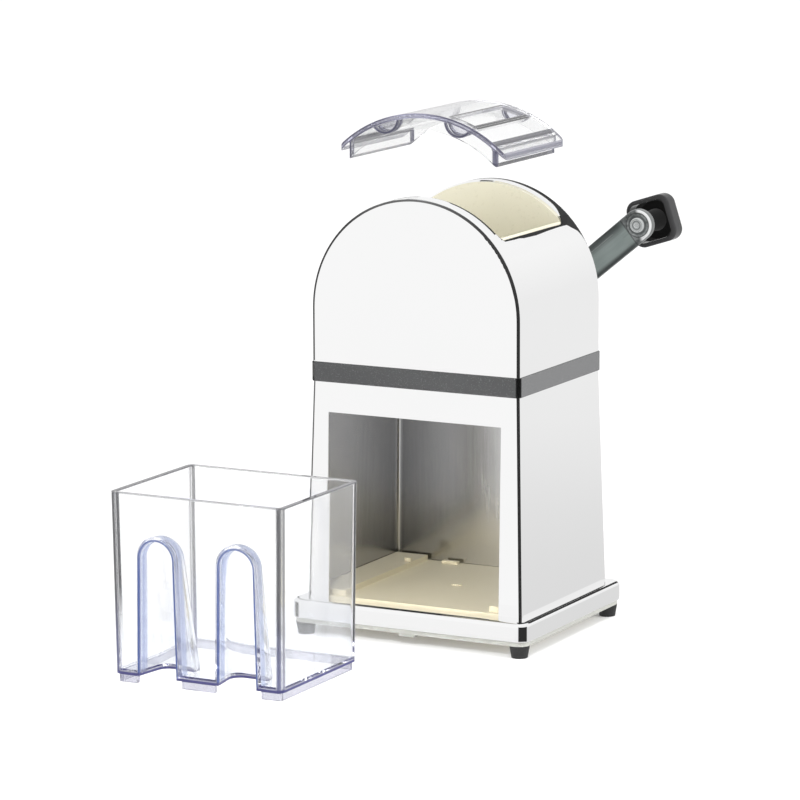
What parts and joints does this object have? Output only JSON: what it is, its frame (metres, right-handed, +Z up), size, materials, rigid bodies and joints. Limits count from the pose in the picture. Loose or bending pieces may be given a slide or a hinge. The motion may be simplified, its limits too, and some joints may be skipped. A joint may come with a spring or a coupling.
{
  "type": "hand-cranked ice shaver",
  "caption": "Arched metal ice shaver with a rear hand crank, a see-through lid lifted off its hopper and a see-through ice drawer pulled out in front.",
  "frame": {"origin": "on the table under the middle of the base, in the plane of the feet", "axes": "+X to the right seen from the front, +Y to the back (the crank's side), +Z up"},
  "size_m": [0.1754, 0.3851, 0.2979],
  "materials": {
    "chrome": "mirror-polished plated steel",
    "cream_plastic": "smooth moulded, cream",
    "band_plastic": "fine satin, dark grey",
    "foot_rubber": "matt black",
    "knob_plastic": "glossy black",
    "collar_plastic": "satin black",
    "clear_plastic": "clear moulded, faint blue edges",
    "arm_steel": "satin, cool grey",
    "blade_steel": "ground stainless",
    "screw_steel": "zinc plated",
    "bush_plastic": "natural nylon"
  },
  "bodies": {
    "housing": {"rubber_feet": "foot_rubber", "foot_screws": "screw_steel", "base_plate": "cream_plastic", "base_rim": "chrome", "lower_housing": "chrome", "middle_band": "band_plastic", "upper_housing": "chrome", "rear_screws": "screw_steel", "grinding_case": "cream_plastic", "hopper_liner": "cream_plastic", "case_screws": "screw_steel", "deck_screws": "screw_steel", "fixed_comb": "blade_steel", "comb_screws": "screw_steel", "front_bush": "bush_plastic", "rear_bush": "bush_plastic", "shaft_collar": "collar_plastic"},
    "crank": {"crank_shaft": "blade_steel", "shaft_clip": "screw_steel", "rotor_blades": "blade_steel", "rotor_spacers": "bush_plastic", "crank_arm": "arm_steel", "crank_washer": "screw_steel", "crank_nut": "chrome", "knob_axle": "arm_steel", "knob_washer": "bush_plastic"},
    "knob": {"knob": "knob_plastic", "knob_cap": "knob_plastic"},
    "lid": {"lid": "clear_plastic"},
    "drawer": {"drawer": "clear_plastic"}
  },
  "joints": [
    {"name": "crank_turn", "type": "hinge", "parent": "housing", "child": "crank", "pos_m": [0, 0.0599, 0.158], "axis": [0, 1, 0], "continuous": true},
    {"name": "knob_spin", "type": "hinge", "parent": "crank", "child": "knob", "pos_m": [0.08476, 0.078, 0.22812], "axis": [0, 1, 0], "continuous": true},
    {"name": "lid_lift", "type": "slide", "parent": "housing", "child": "lid", "axis": [0, -0.1043, 0.9945], "range_m": [-0.04792, 0]},
    {"name": "drawer_slide", "type": "slide", "parent": "housing", "child": "drawer", "axis": [0, 1, 0], "range_m": [0, 0.241]}
  ]
}
